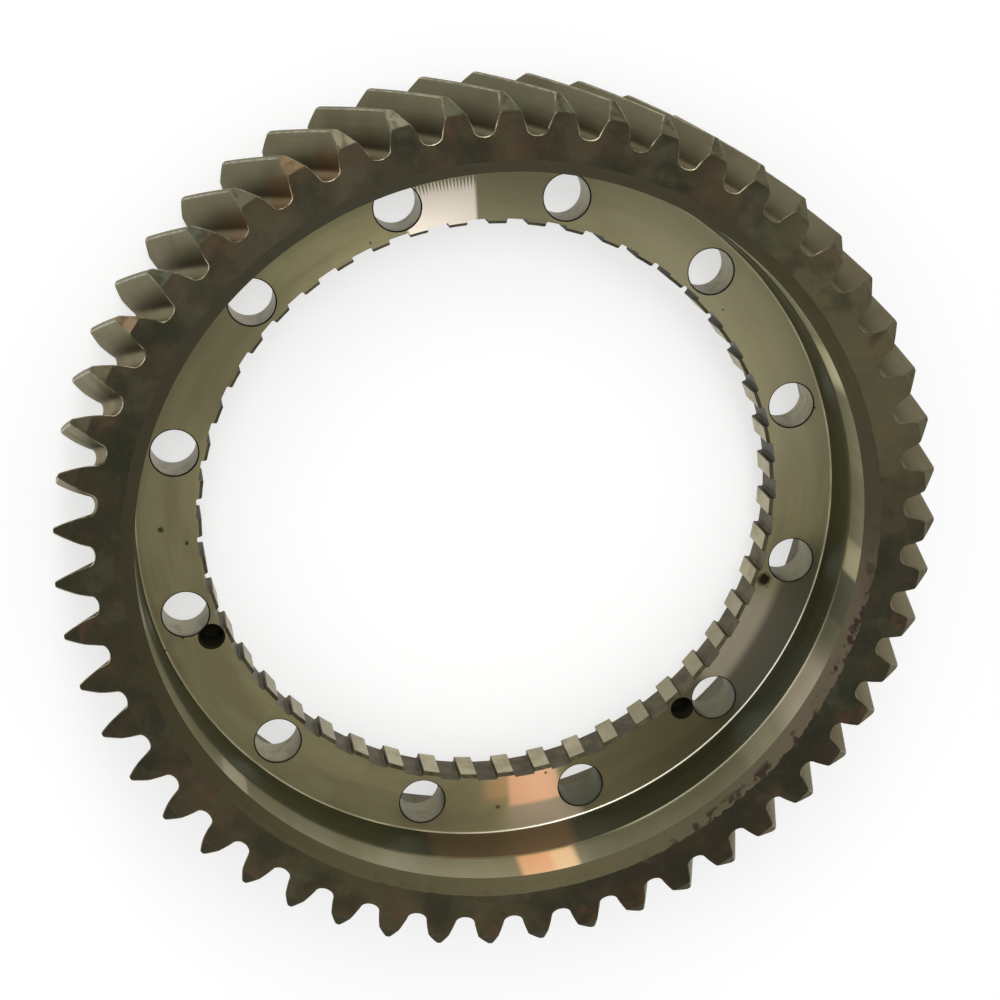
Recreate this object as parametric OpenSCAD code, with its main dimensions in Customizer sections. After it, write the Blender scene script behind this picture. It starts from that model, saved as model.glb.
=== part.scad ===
// Bull gear: the large helical gear of a truck axle with two reductions. It is one forged steel
// ring, machined all over where it fits other parts. Helical teeth are cut on the outside. Inside
// the rim a flat web carries a circle of bolt holes and ends in a splined bore. Both sides of the
// web lie in a round recess, and the deep one, with the wide bevel at its mouth, faces up.
// The gear lies on its back ring. The origin is the centre of its base, +Z is the gear's axis,
// and one bolt hole is on +X.

/* [Teeth] */
// Number of teeth
tooth_count = 51; // [36:1:70]
// Module in the plane of rotation: pitch diameter over number of teeth
tooth_module = 5.9; // [5.5:0.1:7]
// Pressure angle in the plane of rotation, at the pitch circle
pressure_angle = 19.5; // [18:0.5:22]
// Helix angle at the pitch circle, left-hand
helix_angle = 17.7; // [5:0.1:30]
// Height of the teeth above the pitch circle
addendum = 8.55; // [6:0.05:8.8]
// Depth of the gaps below the pitch circle
dedendum = 5.55; // [4:0.05:7]
// Height of the rounding at the bottom of a gap
fillet_h = 2.4; // [1:0.1:3]
// Thinning of each tooth at the pitch circle, which gives the pair its backlash
thinning = 0.08; // [0:0.01:0.3]
// Angle from the bolt hole on +X to the middle of a tooth, at the front face
tooth_phase = -0.64; // [-3.5:0.01:3.5]
// Radial width of the bevel on the tooth tips, front side
front_tip_bevel_w = 6; // [1:0.1:8]
// Axial height of the bevel on the tooth tips, front side
front_tip_bevel_h = 6.5; // [1:0.1:12]
// Radial width of the bevel on the tooth tips, back side
back_tip_bevel_w = 5.8; // [1:0.1:8]
// Axial height of the bevel on the tooth tips, back side
back_tip_bevel_h = 7.4; // [1:0.1:12]

/* [Rim] */
// Metal between the tooth roots and the pilot wall
rim_wall = 13.9; // [12:0.1:20]
// Height of the pilot wall above the web, in the front recess
pilot_h = 20.5; // [8:0.5:30]
// Step outwards from the pilot wall to the relieved wall above it
relief_step = 0.6; // [0.2:0.1:2]
// Leg of the 45 degree bevel at the mouth of the front recess
mouth_bevel = 5.1; // [1:0.1:8]
// Rounding between the web and the walls of both recesses
corner_r = 1; // [0.4:0.1:3]
// How far the back ring stands out past the teeth
back_ring_h = 5.3; // [2:0.1:10]
// Radial width of the back ring
back_ring_w = 10; // [6:0.5:12]
// Edge break on the back ring
ring_edge = 1; // [0.2:0.1:2]

/* [Web] */
// Thickness of the web
web_t = 17.5; // [10:0.5:26]
// Radial width of the web, from the bore to the pilot wall
web_w = 24.1; // [22:0.1:40]
// Depth of the back recess, from the base to the web
back_recess_h = 17.4; // [10:0.1:24]
// Depth of the front recess, from the front face to the web
front_recess_h = 41.2; // [38:0.1:60]

/* [Bolt holes] */
// Number of bolt holes
bolt_count = 12; // [6:1:14]
// Diameter of a bolt hole
bolt_hole_d = 17; // [12:0.5:19]
// Distance from the bottoms of the spline grooves to the bolt circle
bolt_edge = 10.1; // [9.7:0.1:12]
// Edge break at both ends of a bolt hole
bolt_hole_bevel = 0.5; // [0.2:0.1:1]

/* [Balance holes] */
// Diameter of the two blind holes beside bolt holes
blind_hole_d = 10; // [5:0.5:11]
// Depth of the blind holes
blind_hole_h = 13; // [4:0.5:15]
// Distance between the middle of a blind hole and the middle of its bolt hole
blind_hole_gap = 13; // [12:0.1:13.4]

/* [Spline] */
// Number of lands in the bore
land_count = 47; // [24:1:60]
// Height of the lands
land_h = 2; // [1:0.1:3]
// Width of a land at its top
land_w = 6.6; // [4:0.1:8]
// Rounding at the bottom corners of a groove
groove_r = 0.6; // [0.2:0.1:1]
// Bevel on the front ends of the lands
land_bevel = 1.2; // [0.2:0.1:1.8]
// Angle from the bolt hole on +X to the middle of a land
land_phase = -0.59; // [-3.8:0.01:3.8]

/* [Hidden] */
$fn = 180;

// How far a cutting shape runs past the face that it cuts
over = 1;
// Steps of the tooth's rounding, of its flank and along its helix
fillet_steps = 4;
flank_steps = 3;
helix_steps = 4;
// Steps of the rounding in a spline groove
groove_steps = 2;

// Radii, from the teeth inwards
pitch_r = tooth_module * tooth_count / 2;
base_r = pitch_r * cos(pressure_angle);
tip_r = pitch_r + addendum;
root_r = pitch_r - dedendum;
pilot_r = root_r - rim_wall;
relief_r = pilot_r + relief_step;
back_ring_r = pilot_r + back_ring_w;
bore_r = pilot_r - web_w;
groove_bottom_r = bore_r + land_h;
bolt_circle_r = groove_bottom_r + bolt_edge;

// Heights, from the base up
web_z = back_recess_h;
web_top_z = web_z + web_t;
pilot_z = web_top_z + pilot_h;
front_z = web_top_z + front_recess_h;
back_z = back_ring_h;

// Half of a tooth's angle at the pitch circle, and the turn of the helix for each millimetre up
tooth_half_angle = 90 / tooth_count - degrees(thinning / 2 / pitch_r);
twist = degrees(tan(helix_angle) / pitch_r);

// The bolt holes that have a blind hole beside them, each with the direction to it, which is
// measured from the outward radius
blind_holes = [[0, 118], [120, -121]];

// The degrees in an angle given in radians
function degrees(radians) = radians * 180 / PI;

// The involute of an angle, in degrees
function involute(angle) = degrees(tan(angle)) - angle;

// Half of the angle that a gap takes at radius r
function gap_half_angle(r) =
    180 / tooth_count - tooth_half_angle - involute(pressure_angle) + involute(acos(base_r / r));

// One side of a gap as [radius, angle]: a quarter round from the middle of its bottom, then the
// involute flank out past the tip
function gap_side() =
    let (fillet_top = root_r + fillet_h, flank_top = tip_r + over / 2)
    concat(
        [for (i = [1:fillet_steps])
            let (a = 90 * i / fillet_steps)
            [root_r + fillet_h * (1 - cos(a)), gap_half_angle(fillet_top) * sin(a)]],
        [for (i = [1:flank_steps])
            let (r = fillet_top + (flank_top - fillet_top) * i / flank_steps)
            [r, gap_half_angle(r)]]);

// The whole outline of a gap, from the middle of its bottom
function gap_outline() =
    let (side = gap_side(), n = len(side))
    concat([[root_r, 0]], side, [for (i = [1:n]) [side[n - i][0], -side[n - i][1]]]);

// What the cutter takes out between two teeth: the gap's outline, turned a little more at each
// step down, as the left-hand helix asks
module tooth_gap() {
    outline = gap_outline();
    n = len(outline);
    low_z = back_z - over;
    step_h = (front_z + over - low_z) / helix_steps;
    points = [for (k = [0:helix_steps], p = outline)
        let (z = low_z + k * step_h, a = p[1] + twist * (front_z - z))
        [p[0] * cos(a), p[0] * sin(a), z]];
    sides = [for (k = [0:helix_steps - 1], i = [0:n - 1])
        [k * n + i, k * n + (i + 1) % n, (k + 1) * n + (i + 1) % n, (k + 1) * n + i]];
    bottom = [for (i = [0:n - 1]) (n - i) % n];
    top = [for (i = [0:n - 1]) helix_steps * n + i];
    polyhedron(points, concat(sides, [bottom, top]), convexity = 4);
}

// All the gaps
module tooth_gaps() {
    for (i = [0:tooth_count - 1])
        rotate([0, 0, tooth_phase + (i + 0.5) * 360 / tooth_count]) tooth_gap();
}

// A concave rounding for a corner at the origin, with its walls along +X and +Y
module corner_rounding() {
    difference() {
        square(corner_r);
        translate([corner_r, corner_r]) circle(corner_r);
    }
}

// Half section of the turned forging, before teeth, grooves and holes are cut
module section() {
    polygon([
        [bore_r, web_z],
        [pilot_r, web_z],
        [pilot_r, ring_edge],
        [pilot_r + ring_edge, 0],
        [back_ring_r - ring_edge, 0],
        [back_ring_r, ring_edge],
        [back_ring_r, back_z],
        [tip_r - back_tip_bevel_w, back_z],
        [tip_r, back_z + back_tip_bevel_h],
        [tip_r, front_z - front_tip_bevel_h],
        [tip_r - front_tip_bevel_w, front_z],
        [relief_r + mouth_bevel, front_z],
        [relief_r, front_z - mouth_bevel],
        [relief_r, pilot_z],
        [pilot_r, pilot_z],
        [pilot_r, web_top_z],
        [bore_r, web_top_z]
    ]);
    translate([pilot_r, web_top_z]) mirror([1, 0]) corner_rounding();
    translate([pilot_r, web_z]) mirror([1, 0]) mirror([0, 1]) corner_rounding();
}

// One groove of the spline, with straight sides and rounded bottom corners
module groove() {
    half_w = (2 * PI * bore_r / land_count - land_w) / 2;
    corner = [for (i = [0:groove_steps])
        let (a = 90 * i / groove_steps)
        [groove_bottom_r - groove_r * (1 - sin(a)), half_w - groove_r * (1 - cos(a))]];
    m = len(corner);
    translate([0, 0, web_z - over])
        linear_extrude(web_t + 2 * over)
            polygon(concat(
                [[bore_r - over, half_w]],
                corner,
                [for (i = [1:m]) [corner[m - i][0], -corner[m - i][1]]],
                [[bore_r - over, -half_w]]));
}

// All the grooves, and the bevel on the front ends of the lands
module spline() {
    for (i = [0:land_count - 1])
        rotate([0, 0, land_phase + (i + 0.5) * 360 / land_count]) groove();
    translate([0, 0, web_top_z - land_bevel])
        cylinder(h = land_bevel + over, r1 = bore_r, r2 = bore_r + land_bevel + over);
}

// A bolt hole with an edge break at each end
module bolt_hole() {
    r = bolt_hole_d / 2;
    wide_r = r + bolt_hole_bevel + over;
    translate([0, 0, web_z - over]) cylinder(h = web_t + 2 * over, r = r);
    translate([0, 0, web_top_z - bolt_hole_bevel])
        cylinder(h = bolt_hole_bevel + over, r1 = r, r2 = wide_r);
    translate([0, 0, web_z - over])
        cylinder(h = bolt_hole_bevel + over, r1 = wide_r, r2 = r);
}

module bolt_holes() {
    for (i = [0:bolt_count - 1])
        rotate([0, 0, i * 360 / bolt_count]) translate([bolt_circle_r, 0, 0]) bolt_hole();
}

// The two blind holes in the front of the web
module balance_holes() {
    for (hole = blind_holes)
        rotate([0, 0, hole[0]])
            translate([bolt_circle_r, 0, 0])
                rotate([0, 0, hole[1]])
                    translate([blind_hole_gap, 0, web_top_z - blind_hole_h])
                        cylinder(h = blind_hole_h + over, d = blind_hole_d);
}

// The whole gear
module bull_gear() {
    color([0.42, 0.4, 0.31])
        difference() {
            rotate_extrude() section();
            tooth_gaps();
            spline();
            bolt_holes();
            balance_holes();
        }
}

bull_gear();
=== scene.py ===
# %% [markdown]
# # A truck axle's bull gear
#
# The object is one forged steel ring with helical teeth outside, a web with bolt holes inside, and
# a splined bore. This lesson builds it as one closed mesh, ring by ring, as a lathe and a hobbing
# machine would make it. Then it gives each surface the finish that its machine left: forged skin,
# cut flanks, turned web, ground pilot.

import math

import bmesh
import bpy
import numpy as np
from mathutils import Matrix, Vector, noise


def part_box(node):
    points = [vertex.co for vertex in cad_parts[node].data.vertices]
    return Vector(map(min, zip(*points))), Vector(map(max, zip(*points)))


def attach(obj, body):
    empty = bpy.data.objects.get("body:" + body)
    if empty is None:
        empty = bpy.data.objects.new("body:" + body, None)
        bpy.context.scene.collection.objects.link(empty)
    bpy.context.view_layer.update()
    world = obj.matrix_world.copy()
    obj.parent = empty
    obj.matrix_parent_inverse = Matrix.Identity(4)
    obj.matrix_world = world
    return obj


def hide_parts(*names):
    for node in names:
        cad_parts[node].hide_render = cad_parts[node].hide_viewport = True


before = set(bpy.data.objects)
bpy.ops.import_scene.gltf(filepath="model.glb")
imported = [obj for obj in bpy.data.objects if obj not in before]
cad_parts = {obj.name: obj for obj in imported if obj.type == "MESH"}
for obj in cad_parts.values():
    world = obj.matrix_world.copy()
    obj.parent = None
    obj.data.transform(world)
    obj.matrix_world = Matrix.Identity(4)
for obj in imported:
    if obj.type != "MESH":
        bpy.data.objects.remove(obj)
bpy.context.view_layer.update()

# %% [markdown]
# ## Sizes
#
# The frame's box gives the tip radius and the height of the front face. The other sizes are set by
# name, in millimetres, as on a machinist's drawing. They could be read from the solid, but named
# values say what each one is. The mesh turns to metres only when it is stored.

# %% Sizes of the gear
MM = 0.001
node_low, node_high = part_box("bull_gear")
tip_r = node_high.x / MM
front_z = node_high.z / MM

tooth_count = 51
pitch_r = tip_r - 8.55
root_r = pitch_r - 5.55
fillet_h = 2.4
pressure_angle = math.radians(19.5)
helix_angle = math.radians(17.7)
tooth_phase = math.radians(-0.64)
thinning = 0.08
base_r = pitch_r * math.cos(pressure_angle)
twist = math.tan(helix_angle) / pitch_r

back_z = 5.3
front_bevel_w, front_bevel_h = 6.0, 6.5
back_bevel_w, back_bevel_h = 5.8, 7.4

pilot_r = root_r - 13.9
relief_r = pilot_r + 0.6
mouth_bevel = 5.1
corner_r = 1.0
back_ring_r = pilot_r + 10
ring_edge = 1.0
web_z = 17.4
web_top_z = web_z + 17.5
pilot_z = web_top_z + 20.5

bolt_count = 12
bolt_circle_r = pilot_r - 12
bolt_hole_r = 8.5
bolt_bevel = 0.5
blind_hole_h = 13.0
blind_hole_gap = 13.0
# Each blind hole: angle of its bolt hole, direction from there, and radius of its mouth
blind_holes = ((0, 118, 5.0), (120, -121, 4.5))

bore_r = pilot_r - 24.1
land_count = 47
land_h = 2.0
land_w = 6.6
land_bevel = 1.2
land_phase = math.radians(-0.59)
groove_corner_r = 0.6
groove_flare = 0.25
print("height of the gear %.2f mm" % ((node_high.z - node_low.z) / MM))
print("tip radius %.2f mm, root radius %.2f mm, bore radius %.2f mm" % (tip_r, root_r, bore_r))

# %% [markdown]
# ## The tooth's outline
#
# A hobbed tooth has an involute flank: the curve that the end of a string draws as it unwinds
# from the base circle. A cutter with round corners leaves a trough between two teeth. The outline
# is kept as pairs of radius and half angle, from the middle of a gap up to the middle of the tip,
# so that any slice can be cut lower by the tip bevel and still follow the same flank.

# %% Tooth outline
FILLET_STEPS = 5
FLANK_STEPS = 7
TIP_CORNER = 0.4
HALF = FILLET_STEPS + FLANK_STEPS + 3
COLUMNS = 2 * HALF


def involute(angle):
    return math.tan(angle) - angle


def half_tooth(r):
    """Half of the angle that a tooth takes at radius r."""
    at_pitch = math.pi / 2 / tooth_count - thinning / 2 / pitch_r
    return at_pitch + involute(pressure_angle) - involute(math.acos(base_r / r))


def half_outline(top_r):
    """Radius and half angle from the middle of the gap to the middle of the tip."""
    half_pitch = math.pi / tooth_count
    flank_r = root_r + fillet_h
    half_gap = half_pitch - half_tooth(flank_r)
    points = [(root_r, half_pitch)]
    for i in range(1, FILLET_STEPS + 1):
        t = math.pi / 2 * i / FILLET_STEPS
        points.append((root_r + fillet_h * (1 - math.cos(t)), half_pitch - half_gap * math.sin(t)))
    for i in range(1, FLANK_STEPS + 1):
        r = flank_r + (top_r - TIP_CORNER - flank_r) * i / FLANK_STEPS
        points.append((r, half_tooth(r)))
    corner = half_tooth(top_r) - TIP_CORNER / top_r
    points.append((top_r, corner))
    points.append((top_r, corner / 2))
    points.append((top_r, 0))
    return points


def top_radius(z):
    """Radius of the tips at height z, with the bevels at both ends."""
    front_cut = max(0, (z - (front_z - front_bevel_h)) / front_bevel_h)
    back_cut = max(0, ((back_z + back_bevel_h) - z) / back_bevel_h)
    return tip_r - front_bevel_w * front_cut - back_bevel_w * back_cut


def outline_ring(z, inset):
    """All the teeth at height z as x, y points, pulled into the metal by inset."""
    half = half_outline(top_radius(z))
    tooth = [(r, -a) for r, a in half] + [(r, a) for r, a in half[-2:0:-1]]
    turn = tooth_phase + twist * (front_z - z)
    ring = np.array([
        (r * math.cos(a + turn + k * math.tau / tooth_count),
         r * math.sin(a + turn + k * math.tau / tooth_count))
        for k in range(tooth_count) for r, a in tooth])
    along = np.roll(ring, -1, 0) - np.roll(ring, 1, 0)
    along /= np.linalg.norm(along, axis=1)[:, None]
    outward = np.stack([along[:, 1], -along[:, 0]], 1)
    return ring - outward * inset


print("points in one tooth:", COLUMNS, "and in the whole outline:", COLUMNS * tooth_count)

# %% [markdown]
# ## A skin made of rings
#
# The gear is a stack of closed rings joined by strips of faces. Sharing the points between strips
# keeps the mesh closed, which a heap of separate parts would not be. Each strip is given the
# finish of its surface when it is made, by the name that the materials below use.

# %% Rings and strips
FINISHES = ["forged_skin", "tooth_flank", "tip_bevel", "worn_edge", "mouth_bevel", "relief_wall",
            "pilot_wall", "corner_round", "turned_web", "drilled_wall", "hole_rim", "spline_land",
            "land_bevel", "spline_groove", "blind_hole", "back_skin"]
FINISH = {name: i for i, name in enumerate(FINISHES)}
points = []
faces = []
face_finish = []


def add_points(coordinates):
    """Stores points in millimetres and gives their numbers."""
    first = len(points)
    points.extend(tuple(c) for c in coordinates)
    return list(range(first, len(points)))


def add_face(corners, finish):
    faces.append(corners)
    face_finish.append(FINISH[finish])


def join(lower, upper, finish, closed=True):
    """A strip of quads between two rows with the same number of points."""
    n = len(lower)
    for i in range(n if closed else n - 1):
        j = (i + 1) % n
        add_face((lower[i], lower[j], upper[j], upper[i]), finish)


def zip_rows(a, b, finish):
    """A strip of triangles between two open rows with different numbers of points."""
    i, j = 0, 0
    while i < len(a) - 1 or j < len(b) - 1:
        if j == len(b) - 1 or (i < len(a) - 1 and i * (len(b) - 1) <= j * (len(a) - 1)):
            if a[i + 1] != b[j] and a[i] != b[j]:
                add_face((a[i], a[i + 1], b[j]), finish)
            i += 1
        else:
            if a[i] != b[j + 1] and a[i] != b[j]:
                add_face((a[i], b[j + 1], b[j]), finish)
            j += 1


def circle_ring(r, z, angles):
    """Points on a circle. r and z may be one number or one for each angle."""
    r, z = np.broadcast_to(r, len(angles)), np.broadcast_to(z, len(angles))
    return add_points(np.stack([r * np.cos(angles), r * np.sin(angles), z], 1))


print("finishes to give:", len(FINISHES))

# %% [markdown]
# ## The toothed band
#
# The band is the outline ring, repeated up the face width and turned a little at each step. Near
# both ends the tips get lower, which draws the bevels, and the last steps pull the outline in by a
# fraction of a millimetre, as a deburring wheel does. A twisting modifier would turn one outline as
# well, but it couldn't lower the tips or break the edges.

# %% Rows of the toothed band
BODY_ROWS = 14
BEVEL_ROWS = 4
EDGE_BREAK = 0.3


def band_levels():
    """Heights and insets of the rows, from the back face to the front face."""
    quarter = [(1 - math.cos(t), 1 - math.sin(t)) for t in (0, math.pi / 6, math.pi / 3)]
    low = [(back_z + EDGE_BREAK * h, EDGE_BREAK * d) for h, d in quarter]
    bevel_top = back_z + back_bevel_h
    front_bevel_z = front_z - front_bevel_h
    middle = [(back_z + EDGE_BREAK, 0)]
    middle += [(z, 0) for z in np.linspace(back_z + EDGE_BREAK, bevel_top, BEVEL_ROWS)[1:]]
    middle += [(z, 0) for z in np.linspace(bevel_top, front_bevel_z, BODY_ROWS)[1:]]
    middle += [(z, 0) for z in np.linspace(front_bevel_z, front_z - EDGE_BREAK, BEVEL_ROWS)[1:]]
    high = [(front_z - EDGE_BREAK * h, EDGE_BREAK * d) for h, d in quarter]
    return low + middle + high[::-1]


levels = band_levels()
print("rows in the band:", len(levels))

# %% Toothed band


def finish_of_column(i, z):
    """The finish of the quad that starts at column i of a tooth."""
    on_tip = HALF - 3 < i % COLUMNS < HALF + 2
    on_corner = i % COLUMNS in (HALF - 3, HALF + 2)
    on_bevel = z > front_z - front_bevel_h or z < back_z + back_bevel_h
    if z > front_z - EDGE_BREAK or z < back_z + EDGE_BREAK:
        return "forged_skin" if on_tip else "worn_edge"
    if on_corner:
        return "worn_edge"
    return "tip_bevel" if on_tip and on_bevel else "tooth_flank"


band = []
for z, inset in levels:
    xy = outline_ring(z, inset)
    band.append(add_points(np.column_stack([xy, np.full(len(xy), z)])))
for row in range(len(band) - 1):
    low_row, high_row = band[row], band[row + 1]
    middle_z = (levels[row][0] + levels[row + 1][0]) / 2
    for i in range(len(low_row)):
        j = (i + 1) % len(low_row)
        add_face((low_row[i], low_row[j], high_row[j], high_row[i]), finish_of_column(i, middle_z))
print("faces so far:", len(faces))

# %% [markdown]
# ## The end faces
#
# The front face is as forged, so it is not quite flat. One large polygon could close it, but it
# would be flat. So each tooth's end is a small grid between its two flanks, and the grids meet in
# one ring at the root circle. The same grids close the back.

# %% End faces
ACROSS = 12
SECTORS = ACROSS * tooth_count
FRONT_DIP = 0.25
BACK_DIP = 0.15


def skin_dip(x, y, depth):
    """How far the forged skin lies below its plane at a point: never above it."""
    spot = Vector((x, y, 0))
    wide = noise.noise(spot / 23) * 0.5 + 0.5
    fine = noise.noise(spot / 5 + Vector((40, 0, 0))) * 0.5 + 0.5
    return depth * (0.65 * wide + 0.35 * fine)


def end_face(ring, z, depth, side, finish):
    """Closes one end of the teeth and gives the ring at the root circle."""
    root_ring = []
    for k in range(tooth_count):
        outline = [ring[(k * COLUMNS + i) % len(ring)] for i in range(COLUMNS + 1)]
        previous = None
        for i in range(HALF - 2):
            left, right = outline[i], outline[COLUMNS - i]
            a, b = np.array(points[left][:2]), np.array(points[right][:2])
            r = np.hypot(*a)
            start = math.atan2(a[1], a[0])
            span = (math.atan2(b[1], b[0]) - start) % math.tau
            inner = []
            for c in range(1, ACROSS):
                angle = start + span * c / ACROSS
                x, y = r * math.cos(angle), r * math.sin(angle)
                inner.append((x, y, z - side * skin_dip(x, y, depth)))
            row = [left] + add_points(inner) + [right]
            if i == 0:
                root_ring += row[:-1]
            else:
                join(previous, row, finish, closed=False)
            previous = row
        zip_rows(previous, outline[HALF - 3:HALF + 4], finish)
    return root_ring


front_root = end_face(band[-1], front_z, FRONT_DIP, 1, "forged_skin")
back_root = end_face(band[0], back_z, BACK_DIP, -1, "back_skin")
print("points in a root ring:", len(front_root), "faces so far:", len(faces))

# %% [markdown]
# ## The turned inside
#
# Everything inside the root circle was turned on a lathe, so it is one profile carried round. A
# Screw modifier does that too, but rings that start from the points of the end face keep the mesh
# closed. The bevel at the mouth of the recess was cut into the rough face: where the face lies
# lower, the bevel ends at a smaller radius, and that makes the ragged border of the real gear.

# %% Depth of the rough face at the mouth
PITTED_AT = 127
PITTED_HALF_WIDTH = 32


def angles_of(ring):
    return np.array([math.atan2(points[i][1], points[i][0]) for i in ring])


def mouth_dip(angle):
    """How deep the forged face lies at the mouth, at one angle."""
    spot = Vector((math.cos(angle), math.sin(angle), 0)) * relief_r
    wide = noise.noise(spot / 30) * 0.5 + 0.5
    middle = noise.noise(spot / 7 + Vector((9, 0, 0)))
    fine = noise.noise(spot / 1.6 + Vector((0, 31, 0)))
    off_pits = abs((math.degrees(angle) - PITTED_AT + 180) % 360 - 180)
    pitted = max(0, min(1, (PITTED_HALF_WIDTH - off_pits) / 12))
    scallop = max(0, noise.noise(spot / 2.4 + Vector((5, 0, 17))) + 0.05)
    return max(0.02, 0.15 + 0.5 * wide + 0.25 * middle + 0.18 * fine + 1.3 * pitted * scallop)


front_angles = angles_of(front_root)
dips = np.array([mouth_dip(a) for a in front_angles])
mouth_r = relief_r + mouth_bevel - dips
print("the rough face dips %.2f to %.2f mm at the mouth" % (dips.min(), dips.max()))

# %% From the root circle over the mouth
previous = front_root
for share in (0.25, 0.5, 0.72, 0.88, 0.96, 1.0):
    r = root_r - EDGE_BREAK + (mouth_r - root_r + EDGE_BREAK) * share
    x, y = r * np.cos(front_angles), r * np.sin(front_angles)
    rough = np.array([skin_dip(a, b, FRONT_DIP) for a, b in zip(x, y)])
    z = front_z - rough * (1 - share) - dips * share
    ring = circle_ring(r, z, front_angles)
    join(previous, ring, "forged_skin")
    previous = ring
for share in (0.04, 0.35, 0.7):
    r = mouth_r + (relief_r - mouth_r) * share
    z = front_z - dips + (dips - mouth_bevel) * share
    ring = circle_ring(r, z, front_angles)
    join(previous, ring, "mouth_bevel")
    previous = ring
print("faces so far:", len(faces))

# %% The turned profile


def turned(previous, profile, angles):
    """Carries a profile of (radius, height, finish) round the axis, from the ring before it."""
    for r, z, finish in profile:
        ring = circle_ring(r, z, angles)
        join(previous, ring, finish)
        previous = ring
    return previous


def rounding(r, z, start, turn, finishes):
    """A quarter round of corner_r about a point, as profile steps with a finish each."""
    count = len(finishes) - 1
    steps = [start + turn * math.pi / 2 * i / count for i in range(count + 1)]
    return [(r + corner_r * math.cos(t), z + corner_r * math.sin(t), finish)
            for t, finish in zip(steps, finishes)]


front_profile = [
    (relief_r, front_z - mouth_bevel, "mouth_bevel"),
    (relief_r, (front_z - mouth_bevel + pilot_z) / 2, "relief_wall"),
    (relief_r, pilot_z, "relief_wall"),
    (pilot_r + 0.22, pilot_z, "corner_round"),
    (pilot_r, pilot_z - 0.22, "pilot_wall"),
    (pilot_r, (pilot_z + web_top_z) / 2, "pilot_wall"),
    *rounding(pilot_r - corner_r, web_top_z + corner_r, 0, -1,
              ["pilot_wall", "pilot_wall", "pilot_wall", "corner_round", "corner_round",
               "turned_web", "turned_web"]),
    (bore_r + land_bevel, web_top_z, "turned_web"),
    (bore_r, web_top_z - land_bevel, "land_bevel"),
    (bore_r, web_z, "spline_land"),
    *rounding(pilot_r - corner_r, web_z - corner_r, math.pi / 2, -1, ["back_skin"] * 5),
    (pilot_r, ring_edge, "back_skin"),
    (pilot_r + ring_edge, 0, "back_skin"),
    (back_ring_r - ring_edge, 0, "back_skin"),
    (back_ring_r, ring_edge, "back_skin"),
    (back_ring_r, back_z, "back_skin"),
]
last = turned(previous, front_profile, front_angles)
print("steps of the profile:", len(front_profile))

# %% [markdown]
# ## Closing the back
#
# The profile ends where the back ring meets the back face. That last ring and the ring at the
# back root circle have the same number of points, but they start at different angles, because the
# helix has turned the teeth in between. One large face could fill the gap, and it would shade
# badly. So the start is shifted first, and then the two rings are joined by plain quads.

# %% Closing the back
back_angles = angles_of(back_root)
offset = int(round(((back_angles[0] - front_angles[0]) % math.tau) / (math.tau / SECTORS)))
last = last[offset % SECTORS:] + last[:offset % SECTORS]
join(last, back_root, "back_skin")
print("points:", len(points), "faces:", len(faces))

# %% [markdown]
# ## One closed mesh
#
# All points and faces now become one mesh. Loose parts could also be welded by distance, but
# these share their points from the start, so nothing has to be guessed. The count of open edges
# shows whether it worked: a mesh that is to be cut must have none.

# %% One closed mesh


def make_mesh(name, coordinates, corners, finishes):
    """A mesh object in metres with the finish numbers of its faces."""
    mesh = bpy.data.meshes.new(name)
    mesh.from_pydata([tuple(v * MM for v in p) for p in coordinates], [], corners)
    mesh.polygons.foreach_set("material_index", finishes)
    work = bmesh.new()
    work.from_mesh(mesh)
    bmesh.ops.recalc_face_normals(work, faces=work.faces)
    open_edges = sum(1 for e in work.edges if not e.is_manifold)
    work.to_mesh(mesh)
    work.free()
    made = bpy.data.objects.new(name, mesh)
    bpy.context.scene.collection.objects.link(made)
    print(name, "faces:", len(mesh.polygons), "open edges:", open_edges)
    return made


gear = make_mesh("bull_gear_steel", points, faces, face_finish)

# %% [markdown]
# ## Holes and grooves
#
# The bolt holes are drilled and the spline grooves are broached after turning. They could be built
# into the rings, with many more points, so here they are cut out of the finished ring. A cutting
# shape already carries the small edge breaks, so that the rim of every hole is bevelled.

# %% Drills


def lathe_solid(profile, centre, wall, rim, sides=72):
    """A solid of revolution about a vertical line through centre, from (radius, height) pairs.
    Its longest step is the wall, and the others are rims."""
    coordinates, corners, finishes = [], [], []
    longest = max(b[1] - a[1] for a, b in zip(profile, profile[1:]))
    for r, z in profile:
        for s in range(sides):
            a = math.tau * s / sides
            coordinates.append((centre[0] + r * math.cos(a), centre[1] + r * math.sin(a), z))
    for row in range(len(profile) - 1):
        is_wall = profile[row + 1][1] - profile[row][1] == longest
        for s in range(sides):
            t = (s + 1) % sides
            corners.append((row * sides + s, row * sides + t, (row + 1) * sides + t,
                            (row + 1) * sides + s))
            finishes.append(FINISH[wall if is_wall else rim])
    corners.append(tuple(range(sides)))
    corners.append(tuple(range((len(profile) - 1) * sides, len(profile) * sides)))
    return coordinates, corners, finishes + [FINISH[wall]] * 2


def merged(solids):
    """Several solids as one list of points, faces and finishes."""
    coordinates, corners, finishes = [], [], []
    for c, f, m in solids:
        first = len(coordinates)
        coordinates += c
        corners += [tuple(first + i for i in face) for face in f]
        finishes += m
    return coordinates, corners, finishes


overshoot = 1.0
bolt_profile = [
    (bolt_hole_r + bolt_bevel + overshoot, web_z - overshoot),
    (bolt_hole_r, web_z + bolt_bevel),
    (bolt_hole_r, web_top_z - bolt_bevel),
    (bolt_hole_r + bolt_bevel + overshoot, web_top_z + overshoot),
]
bolt_cutters = [
    lathe_solid(bolt_profile, (bolt_circle_r * math.cos(k * math.tau / bolt_count),
                               bolt_circle_r * math.sin(k * math.tau / bolt_count)),
                "drilled_wall", "hole_rim")
    for k in range(bolt_count)]
print("drills for bolt holes:", len(bolt_cutters))

# %% Broach


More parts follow.
